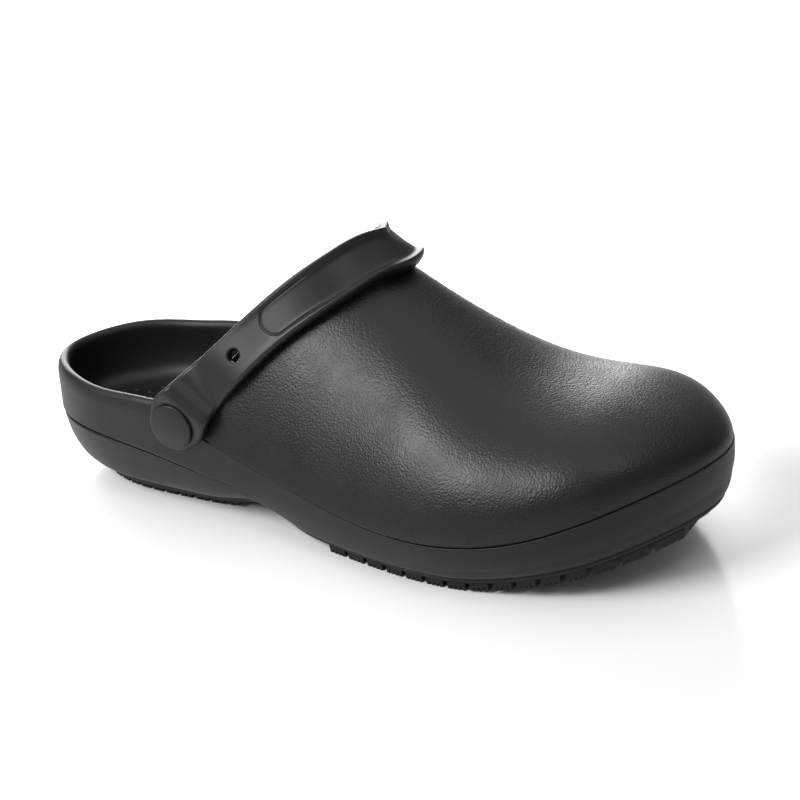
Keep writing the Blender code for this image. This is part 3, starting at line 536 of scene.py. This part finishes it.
def etched_leather(name, colour, rough):
    """Leather grain etched in the mould: pebbles about 0.8 mm across, parted by fine soft creases."""
    item = bpy.data.materials.new(name)
    item.use_nodes = True
    tree = item.node_tree
    shader = tree.nodes["Principled BSDF"]
    shader.inputs["Base Color"].default_value = linear(colour)
    shader.inputs["Specular IOR Level"].default_value = SPECULAR
    place = add_node(tree, "ShaderNodeTexCoord")
    warp = add_node(tree, "ShaderNodeTexNoise", {
        "Vector": place.outputs["Object"], "Scale": 260.0, "Detail": 2.0})
    bent = add_node(tree, "ShaderNodeVectorMath", {
        0: warp.outputs["Color"], 1: (0.0011, 0.0011, 0.0011), 2: place.outputs["Object"]},
        operation="MULTIPLY_ADD")
    cells = add_node(tree, "ShaderNodeTexVoronoi", {
        "Vector": bent.outputs["Vector"], "Scale": 1000 / 0.8, "Smoothness": 0.6}, feature="SMOOTH_F1")
    fine = add_node(tree, "ShaderNodeTexNoise", {
        "Vector": place.outputs["Object"], "Scale": 1000 / 0.5, "Detail": 2.0})
    slow = add_node(tree, "ShaderNodeTexNoise", {
        "Vector": place.outputs["Object"], "Scale": 70.0, "Detail": 2.0})
    pebble = add_node(tree, "ShaderNodeBump", {
        "Height": cells.outputs["Distance"], "Strength": 1.0, "Distance": 0.00010}, invert=True)
    pore = add_node(tree, "ShaderNodeBump", {
        "Height": fine.outputs["Fac"], "Strength": 1.0, "Distance": 0.00003,
        "Normal": pebble.outputs["Normal"]})
    shine = add_node(tree, "ShaderNodeMapRange", {
        "Value": slow.outputs["Fac"], "From Min": 0.3, "From Max": 0.7,
        "To Min": rough - 0.04, "To Max": rough + 0.05})
    tree.links.new(shine.outputs["Result"], shader.inputs["Roughness"])
    tree.links.new(pore.outputs["Normal"], shader.inputs["Normal"])
    return item


skin = vamp_skin(SKIN_INSET, 0.0)
lining = vamp_skin(SKIN_INSET + VAMP_WALL, VAMP_WALL)
collar = round_edge(skin, lining)
seam_rows = [np.stack([skin[:, k], lining[:, k]]) for k in (0, -1)]
grained_eva = etched_leather("moulded EVA, etched leather grain", "#111113", 0.38)
upper = mesh_piece("vamp", [
    (skin, grid_quads(*skin.shape[:2])),
    (lining, grid_quads(*lining.shape[:2])),
    (collar, grid_quads(*collar.shape[:2])),
    (seam_rows[0], grid_quads(2, VAMP_ROWS)),
    (seam_rows[1], grid_quads(2, VAMP_ROWS)),
], grained_eva)
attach(upper, "root")
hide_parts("upper")


# Rivets. Two-part snap rivets of hard plastic join the strap to the cup, so that the strap can
# swing. Each is a profile turned about its axis: domed head, pin, and a small head inside.

RIVET_SPOT = (0.286, 0.0428)   # share along, height
RIVET_HEAD = 0.0180
RIVET_DOME = 0.0016
RIVET_PIN = 0.0050
RIVET_BACK = 0.0110
RIVET_IN = 1.45            # rim walls from the rim's outside in to the small head
RIVET_SLACK = 0.0009       # and the play there
RIVET_FALL = 0.55          # share of RIVET_DOME by which the head drops to its edge
RIVET_ROUND = 0.055        # edge rounding, as a share of the head's radius
STRAP_THICK = 0.0032
RIVET_TURNS = 96


def rivet_place(side):
    """Centre of a rivet on the cup's outside; the head stands clear of the band's widest bulge."""
    xs, ys, _ = side_curve(side, 0.0)
    x = RIVET_SPOT[0] * LENGTH - LENGTH / 2
    reach = np.abs(ys[np.abs(xs - x) < 0.010]).max()
    return np.array([x, (-1, 1)[side] * (reach + SEAM_GAP), RIVET_SPOT[1]])


def turned_rivet(spot):
    """Profile radius(k), depth(k) turned about the y axis through the spot."""
    outside = abs(spot[1]) + STRAP_THICK + 1.5 * SEAM_GAP
    wall = abs(spot[1]) - RIM_OFFSET - RIM_WALL * RIVET_IN - RIVET_SLACK
    head, pin, back = RIVET_HEAD / 2, RIVET_PIN / 2, RIVET_BACK / 2
    share = np.linspace(0, 0.93, 16)
    crown = np.c_[share * head, outside + RIVET_DOME * (1 - RIVET_FALL * share**2)]
    bend = np.radians(np.linspace(20, 90, 8))
    radius = head * RIVET_ROUND
    edge = np.c_[head - radius + radius * np.sin(bend),
                 outside + RIVET_DOME * 0.5 - 1.4 * radius * (1 - np.cos(bend))]
    tail = [(head, outside), (head * 0.97, outside - 0.0001), (pin, outside), (pin, wall), (back, wall),
            (back, wall - 0.0007), (back * 0.9, wall - 0.0012), (0.0, wall - 0.0015)]
    profile = np.r_[crown, edge, tail]
    turn = np.linspace(0, 2 * np.pi, RIVET_TURNS, endpoint=False)
    r, depth = profile[:, :1], profile[:, 1:]
    x = spot[0] + r * np.cos(turn)
    y = np.sign(spot[1]) * np.broadcast_to(depth, x.shape)
    z = spot[2] + r * np.sin(turn)
    return np.stack([x, y, z], -1)


rivet_plastic = moulded_skin("moulded POM, satin", "#141416", 0.38, 0.6, 0.012)
for side, name in enumerate(("rivet_lateral", "rivet_medial")):
    body = turned_rivet(rivet_place(side))
    rivet = mesh_piece(name + "_turned", [(body, grid_quads(len(body), RIVET_TURNS, True))], rivet_plastic)
    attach(rivet, "root")
    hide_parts(name)


# Strap. The real one is a band of the same foam, swung forward over the instep. It is a profile
# carried along the line from rivet to rivet: flat with an engraved panel at the sides, and with
# two rolled lips and a hollow face over the crown.

STRAP_WIDTH = 0.0184
STRAP_LIP = 0.0016
STRAP_LIFT = 0.0043
STRAP_CROWN_LIFT = 0.0057
STRAP_INNER_DROP = 0.0014  # the inner half lies this much closer to the vamp
STRAP_TILT = 15.0
STRAP_INNER_EASE = 0.55    # share of the lean given up on the inner half
STRAP_HOLE = 0.0050
HOLE_CHAMFER = 0.0006
HOLE_REACH = 0.0060        # the cutter's half length
STRAP_STEPS = 620
STRAP_EDGE = 0.0014        # edge rounding
STRAP_END = 0.60           # round end's radius, in strap widths
STRAP_SPAN = (24, 156)     # degrees round the section between which it follows the vamp
STRAP_RUN = (0, 0.3, 0.6)  # strap widths: the straight run at each rivet
END_SINK = 1.05            # strap thicknesses by which the end sinks
END_START = (-0.001, 0.004)  # distances past the rivet between which the sinking starts
INNER_DEGREES = (88, 106, 125, 150)  # round the section: inner drop starts, is full, fades, is gone
CROWN_SPAN = (0.35, 0.90)  # shares of the way from a rivet to the crown between which the lips rise
INNER_SPAN = (0.45, 0.56)  # shares of the whole strap between which the lean is given up
LIP_PLACE = 0.84           # share of the half width
LIP_REACH = 0.17
END_RING = (0.0094, 0.0125)  # distances from the rivet between which the end sinks to the band
HOLE_PLACE = 2.13          # strap widths from the rivet
PANEL_START = 3.00         # strap widths from the rivet
PANEL_HALF = 0.66          # share of the half width
PANEL_CUT = 0.00055        # engraved line's depth
PANEL_LINE = 0.00028       # engraved line's half width
PANEL_FADE = (0.60, 0.95)  # shares of the lips' rise between which the line runs out
# distance from the rivet along the strap in strap widths, half width as a share of STRAP_WIDTH
STRAP_FLARE = (
    (0.0, 0.60), (0.20, 0.65), (0.45, 0.60), (0.80, 0.54), (1.30, 0.50), (2.20, 0.476), (3.20, 0.472),
    (4.30, 0.50), (5.50, 0.51),
)


def strap_line():
    """Spline over the vamp at a lift, with a flat straight run into each rivet."""
    rivets = [rivet_place(side) for side in (0, 1)]
    turn = np.radians(np.linspace(*STRAP_SPAN, 15))
    x = strap_share(turn) * LENGTH - LENGTH / 2
    eps = 0.0005
    line = vamp_point(x, turn, VAMP_INSET, 0.0)
    dx = vamp_point(x + eps, turn, VAMP_INSET, 0.0) - vamp_point(x - eps, turn, VAMP_INSET, 0.0)
    dt = vamp_point(x, turn + 0.02, VAMP_INSET, 0.0) - vamp_point(x, turn - 0.02, VAMP_INSET, 0.0)
    out = np.cross(dt, dx)
    out /= np.linalg.norm(out, axis=1)[:, None]
    out[out[:, 2] < 0] *= -1
    lift = STRAP_LIFT + (STRAP_CROWN_LIFT - STRAP_LIFT) * np.sin(turn)**4
    degrees = np.degrees(turn)
    lift -= STRAP_INNER_DROP * ease(degrees, *INNER_DEGREES[:2]) * (1 - ease(degrees, *INNER_DEGREES[2:]))
    line = line + out * lift[:, None]
    ends = [r + np.array([0, np.sign(r[1]) * STRAP_THICK / 2, 0]) for r in rivets]
    ways = [(near - end) * (1, 0, 1) for end, near in zip(ends, (line[0], line[-1]))]
    ways = [way / np.linalg.norm(way) for way in ways]
    start = [ends[0] + ways[0] * STRAP_WIDTH * r for r in STRAP_RUN]
    stop = [ends[1] + ways[1] * STRAP_WIDTH * r for r in STRAP_RUN[::-1]]
    line = np.r_[start, line, stop]
    out = np.r_[[[0, -1, 0]] * 3, out, [[0, 1, 0]] * 3]
    run = np.r_[0, np.cumsum(np.linalg.norm(np.diff(line, axis=0), axis=1))]
    extra = STRAP_END * STRAP_WIDTH
    cap = extra * (1 - np.cos(np.linspace(0.03, np.pi / 2, 40)))
    s = np.r_[-extra + cap, np.linspace(0, run[-1], STRAP_STEPS)[1:-1], run[-1] + extra - cap[::-1]]
    inside = np.clip(s, 0, run[-1])
    place, normal = cubic(run, line, inside), cubic(run, out, inside)
    tangent = cubic(run, line, inside + 1e-5) - cubic(run, line, inside - 1e-5)
    tangent[s <= 2e-5], tangent[s >= run[-1] - 2e-5] = ways[0], -ways[1]
    tangent /= np.linalg.norm(tangent, axis=1)[:, None]
    place = place + tangent * (s - inside)[:, None]
    normal -= tangent * np.sum(normal * tangent, 1)[:, None]
    normal /= np.linalg.norm(normal, axis=1)[:, None]
    return place, normal, tangent, np.where(s < run[-1] / 2, s, run[-1] - s)


def strap_surface():
    """Section (across, rise) carried along the line: rise is half the thickness and the lips' bell
    curves, less the engraved line, a Gaussian of the distance to the panel's edge."""
    place, normal, tangent, near = strap_line()
    side = np.cross(normal, tangent)
    side *= np.sign(side[:, :1])
    longest = near.max()
    crown = ease(near, CROWN_SPAN[0] * longest, CROWN_SPAN[1] * longest)
    inner = ease(np.linspace(0, 1, len(near)), *INNER_SPAN)
    lean = (np.radians(STRAP_TILT) * crown * (1 - STRAP_INNER_EASE * inner))[:, None]
    wide = side * np.cos(lean) - normal * np.sin(lean)
    up = side * np.sin(lean) + normal * np.cos(lean)
    end = STRAP_END * STRAP_WIDTH
    half = column(STRAP_FLARE, 1, np.clip(near, 0, None) / STRAP_WIDTH) * STRAP_WIDTH
    half = np.where(near < 0, np.maximum(end * np.sqrt(np.clip(1 - (near / end)**2, 0, 1)), 0.0004), half)
    edge = np.minimum(STRAP_EDGE, 0.45 * half)[:, None]
    bend = np.radians(np.linspace(0, 90, 7))
    flat = np.linspace(-1, 1, 81)
    level = half[:, None] - edge
    outward, downward = edge * np.sin(bend), edge * (1 - np.cos(bend))
    v = np.concatenate([-level - outward[:, ::-1], flat[1:-1] * level, level + outward], 1)
    fall = np.concatenate([downward[:, ::-1], 0 * flat[1:-1] * level, downward], 1)
    share = v / half[:, None]
    lip = np.exp(-((np.abs(share) - LIP_PLACE) / LIP_REACH)**2) * STRAP_LIP * crown[:, None]
    reach = near[:, None] - PANEL_START * STRAP_WIDTH
    radius = PANEL_HALF * half[:, None]
    ahead = np.clip(radius - reach, 0, None)
    distance = np.hypot(ahead, v) - radius
    line = np.exp(-(distance / PANEL_LINE)**2) * PANEL_CUT * (1 - ease(crown[:, None], *PANEL_FADE))
    line = np.where(reach > -0.002, line, 0.0)
    head = np.hypot(near[:, None], v)
    skirt = ease(head, *END_RING) * ease(-near[:, None], *END_START)
    rise = STRAP_THICK * (0.5 - END_SINK * skirt) + lip - line - fall
    below = np.linspace(1, -1, 12) * half[:, None]
    ring_v = np.concatenate([v, below], 1)
    ring_z = np.concatenate([rise, np.full_like(below, -0.5 * STRAP_THICK)], 1)
    points = place[:, None] + wide[:, None] * ring_v[..., None] + up[:, None] * ring_z[..., None]
    return points, place, normal, near


def drill(piece, centre, axis, radius, depth, turns=48):
    """Cuts a round hole with a chamfered outer mouth: the cutter is straight and flares past the mouth."""
    axis = axis / np.linalg.norm(axis)
    across = np.cross(axis, (0, 0, 1.0))
    across /= np.linalg.norm(across)
    upward = np.cross(across, axis)
    mouth = STRAP_THICK / 2 - HOLE_CHAMFER
    profile = np.array([(-depth, 1.0), (mouth, 1.0), (depth, 1 + (depth - mouth) / radius)])
    turn = np.linspace(0.03, 2 * np.pi + 0.03, turns, endpoint=False)
    ring = across * np.cos(turn)[:, None] + upward * np.sin(turn)[:, None]
    points = centre + axis * profile[:, None, :1] + ring * profile[:, None, 1:] * radius
    caps = [np.stack([np.broadcast_to(points[k].mean(0), points[k].shape), points[k]]) for k in (0, -1)]
    cutter = mesh_piece("cutter", [(points, grid_quads(3, turns, True))]
                        + [(cap, grid_quads(2, turns, True)) for cap in caps], piece.data.materials[0])
    cut = piece.modifiers.new("hole", "BOOLEAN")
    cut.operation, cut.solver, cut.object = "DIFFERENCE", "EXACT", cutter
    bpy.context.view_layer.update()
    result = bpy.data.meshes.new_from_object(piece.evaluated_get(bpy.context.evaluated_depsgraph_get()))
    piece.modifiers.clear()
    piece.data = result
    bpy.data.objects.remove(cutter)


shell, strap_place, strap_normal, strap_near = strap_surface()
strap_eva = moulded_skin("moulded EVA, smooth strap skin", "#19191b", 0.38, 0.5, 0.02)
ends = [np.stack([shell[k], np.broadcast_to(shell[k].mean(0), shell[k].shape)]) for k in (0, -1)]
strap = mesh_piece("strap_band", [(shell, grid_quads(*shell.shape[:2], True))]
                   + [(end, grid_quads(2, shell.shape[1], True)) for end in ends], strap_eva)
middle = len(strap_near) // 2
off_hole = np.abs(strap_near - HOLE_PLACE * STRAP_WIDTH)
for pick in (np.argmin(off_hole[:middle]), middle + np.argmin(off_hole[middle:])):
    drill(strap, strap_place[pick], strap_normal[pick], STRAP_HOLE / 2, HOLE_REACH)
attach(strap, "root")
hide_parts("strap")


# Tread. A thin sheet of oil-resistant rubber is bonded under the cup. Its lugs stand in rows across
# the sole, each parted by fine sipes so that it can grip a wet kitchen floor.

TREAD_SINK = 0.0006        # the lugs' roots lie this far inside the sheet
# share along where the rows start and stop, number of rows
LUG_ROWS = ((0.045, 0.330, 11), (0.500, 0.982, 15))
# shares across, outer side to inner side
LUG_COLUMNS = ((0.0, 0.13), (0.16, 0.36), (0.39, 0.61), (0.64, 0.84), (0.87, 1.0))
# place along a lug, share of its depth at the forefoot (three sipes), the same at the heel (one)
LUG_TEETH = (
    (0.00, 0.00, 0.00), (0.03, 1.00, 1.00), (0.21, 1.00, 1.00), (0.22, 0.62, 1.00), (0.29, 0.62, 1.00),
    (0.30, 1.00, 1.00), (0.46, 1.00, 1.00), (0.47, 0.62, 0.10), (0.54, 0.62, 0.10), (0.55, 1.00, 1.00),
    (0.71, 1.00, 1.00), (0.72, 0.62, 1.00), (0.79, 0.62, 1.00), (0.80, 1.00, 1.00), (0.97, 1.00, 1.00),
    (1.00, 0.00, 0.00),
)
LUG_LENGTH = 0.82          # share of the space between two rows
HEEL_ROWS_END = 0.4        # share along that parts the heel's rows from the forefoot's
SHEET_ROWS = 161
SHEET_COLUMNS = 13
TREAD_SHARP = 35           # degrees; sharper edges than this are shaded as edges
# place across a lug, share of its depth
LUG_ACROSS = ((0.0, 0.0), (0.025, 1.0), (0.5, 1.0), (0.975, 1.0), (1.0, 0.0))


def tread_edge(side, share):
    """The rubber sheet's edge on one side at a share along the shoe."""
    index = side_index(side, np.ravel(share))
    inset = sheet_inset(EDGE_SHARE[index])
    return along(index, inset).reshape(*np.shape(share), 2)


def lug_blocks():
    """Every lug at once: a toothed height field mapped to the strip between two rows and two columns."""
    starts = np.concatenate([a + np.arange(n) * (b - a) / n for a, b, n in LUG_ROWS])
    pitch = np.concatenate([np.full(n, (b - a) / n) for a, b, n in LUG_ROWS])
    teeth, across = np.array(LUG_TEETH), np.array(LUG_ACROSS)
    cols = np.array(LUG_COLUMNS)
    share = starts[:, None, None, None] + pitch[:, None, None, None] * LUG_LENGTH * teeth[:, None, 0]
    w = cols[:, None, None, 0] + (cols[:, 1] - cols[:, 0])[:, None, None] * across[:, 0]
    share, w = np.broadcast_arrays(share, w)
    outer, inner = tread_edge(0, share), tread_edge(1, share)
    xy = outer * (1 - w[..., None]) + inner * w[..., None]
    place = xy[..., 0] / LENGTH + 0.5
    cut = np.where((starts < HEEL_ROWS_END)[:, None], teeth[:, 2], teeth[:, 1])
    tall = cut[:, None, :, None] * across[None, None, None, :, 1]
    z = tread_height(place) + LUG_DEPTH * (1 - tall) + TREAD_SINK * (tall == 0)
    points = np.concatenate([xy, z[..., None]], -1).reshape(-1, len(teeth), len(across), 3)
    size = len(teeth) * len(across)
    quads = grid_quads(len(teeth), len(across))
    edge = size - len(across)
    lids = np.array([[0, len(across) - 1, size - 1, edge]])
    one = np.r_[quads, lids]
    count = len(points)
    return points.reshape(-1, 3), (one[None] + size * np.arange(count)[:, None, None]).reshape(-1, 4)


def tread_sheet():
    """Closed sheet: one loop of the edge at the top and one at the bottom, filled with rows across."""
    shares = np.linspace(0.0, 1.0, SHEET_ROWS)
    outer, inner = tread_edge(0, shares), tread_edge(1, shares)
    w = np.linspace(0, 1, SHEET_COLUMNS)[None, :, None]
    xy = outer[:, None] * (1 - w) + inner[:, None] * w
    place = np.broadcast_to(shares[:, None], xy.shape[:2])
    low = np.concatenate([xy, (tread_height(place) + LUG_DEPTH)[..., None]], -1)
    high = low + (0, 0, TREAD_PLATE)
    sides = [np.stack([low[:, k], high[:, k]]) for k in (0, -1)]
    tips = [np.stack([low[k], high[k]]) for k in (0, -1)]
    parts = [(low, grid_quads(*low.shape[:2])), (high, grid_quads(*high.shape[:2]))]
    return parts + [(edge, grid_quads(*edge.shape[:2])) for edge in sides + tips]


tread_rubber = moulded_skin("nitrile rubber, matt", "#101011", 0.62, 0.4, 0.02)
tread = mesh_piece("tread", tread_sheet() + [lug_blocks()], tread_rubber)
tread.data.set_sharp_from_angle(angle=np.radians(TREAD_SHARP))
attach(tread, "root")
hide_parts("outsole")


# Studio. A white glossy acrylic table that runs out of view under a pale surround, and four softboxes:
# the key from the front left, one overhead, one low behind for the sheen on the toe, and a small one
# that reaches into the heel.

CAMERA_LOOK = np.array([0.00823, 0.00972, 0.03994])
CAMERA_DISTANCE = 0.8483
CAMERA_AZIMUTH = 31.44
CAMERA_ELEVATION = 25.97
CAMERA_ROLL = -6.15
CAMERA_LENS = 101.4
PICTURE_WIDTH = 36.0       # mm, like the lens
# name, place, aim, width and height, watts
SOFTBOXES = (
    ("key_left", (-0.53, -0.75, 0.77), (0.0, 0.0, 0.04), (0.60, 0.60), 15.0),
    ("overhead", (-0.1, 0.15, 1.25), (0.0, 0.0, 0.04), (1.2, 1.2), 5.0),
    ("backdrop", (-0.90, 1.13, 0.46), (0.0, 0.0, 0.06), (1.1, 0.8), 25.0),
    ("heel_fill", (0.45, -0.40, 1.0), (-0.1, 0.0, 0.03), (0.4, 0.4), 1.5),
)
SURROUND = 0.32            # strength of the white surround
FLOOR_REACH = 4.0
FLOOR_DROP = 0.00002       # below the lugs


def studio_floor():
    """A large flat square a hair below the lugs."""
    reach = np.array([-FLOOR_REACH, FLOOR_REACH])
    x, y = np.meshgrid(reach, reach, indexing="ij")
    return np.stack([x, y, np.full_like(x, -FLOOR_DROP)], -1)


def glossy_white(name, colour, rough):
    """White acrylic sheet: near white, a clear polished face that mirrors the shoe faintly."""
    item = bpy.data.materials.new(name)
    item.use_nodes = True
    shader = item.node_tree.nodes["Principled BSDF"]
    shader.inputs["Base Color"].default_value = linear(colour)
    shader.inputs["Roughness"].default_value = rough
    return item


ground = studio_floor()
acrylic = glossy_white("acrylic sheet", "#f0f0f0", 0.18)
floor = mesh_piece("studio_floor", [(ground, grid_quads(2, 2))], acrylic)


def softbox(name, place, aim, size, power):
    """Rectangular area lamp at a place, turned to its aim."""
    lamp = bpy.data.lights.new(name, "AREA")
    lamp.shape, lamp.size, lamp.size_y, lamp.energy = "RECTANGLE", size[0], size[1], power
    box = bpy.data.objects.new(name, lamp)
    bpy.context.scene.collection.objects.link(box)
    away = np.array(place, float) - np.array(aim, float)
    box.location = place
    box.rotation_euler = (np.arccos(away[2] / np.linalg.norm(away)), 0.0, np.arctan2(away[0], -away[1]))
    return box


for name, place, aim, size, power in SOFTBOXES:
    softbox(name, place, aim, size, power)
world = bpy.data.worlds.new("white_surround")
bpy.context.scene.world = world
world.use_nodes = True
world.node_tree.nodes["Background"].inputs["Color"].default_value = linear("#ffffff")
world.node_tree.nodes["Background"].inputs["Strength"].default_value = SURROUND

azimuth, elevation, roll = np.radians([CAMERA_AZIMUTH, CAMERA_ELEVATION, CAMERA_ROLL])
level = np.cos(elevation)
toward = np.array([np.sin(azimuth) * level, -np.cos(azimuth) * level, np.sin(elevation)])
rightward = np.array([np.cos(azimuth), np.sin(azimuth), 0.0])
upward = np.cross(toward, rightward)
camera = bpy.data.objects.new("camera", bpy.data.cameras.new("camera"))
bpy.context.scene.collection.objects.link(camera)
camera.data.lens, camera.data.sensor_width = CAMERA_LENS, PICTURE_WIDTH
turned = np.eye(4)
turned[:3, 0] = rightward * np.cos(roll) + upward * np.sin(roll)
turned[:3, 1] = upward * np.cos(roll) - rightward * np.sin(roll)
turned[:3, 2] = toward
turned[:3, 3] = CAMERA_LOOK + toward * CAMERA_DISTANCE
camera.matrix_world = Matrix(turned.tolist())
bpy.context.scene.camera = camera
bpy.context.scene.view_settings.view_transform = "Standard"
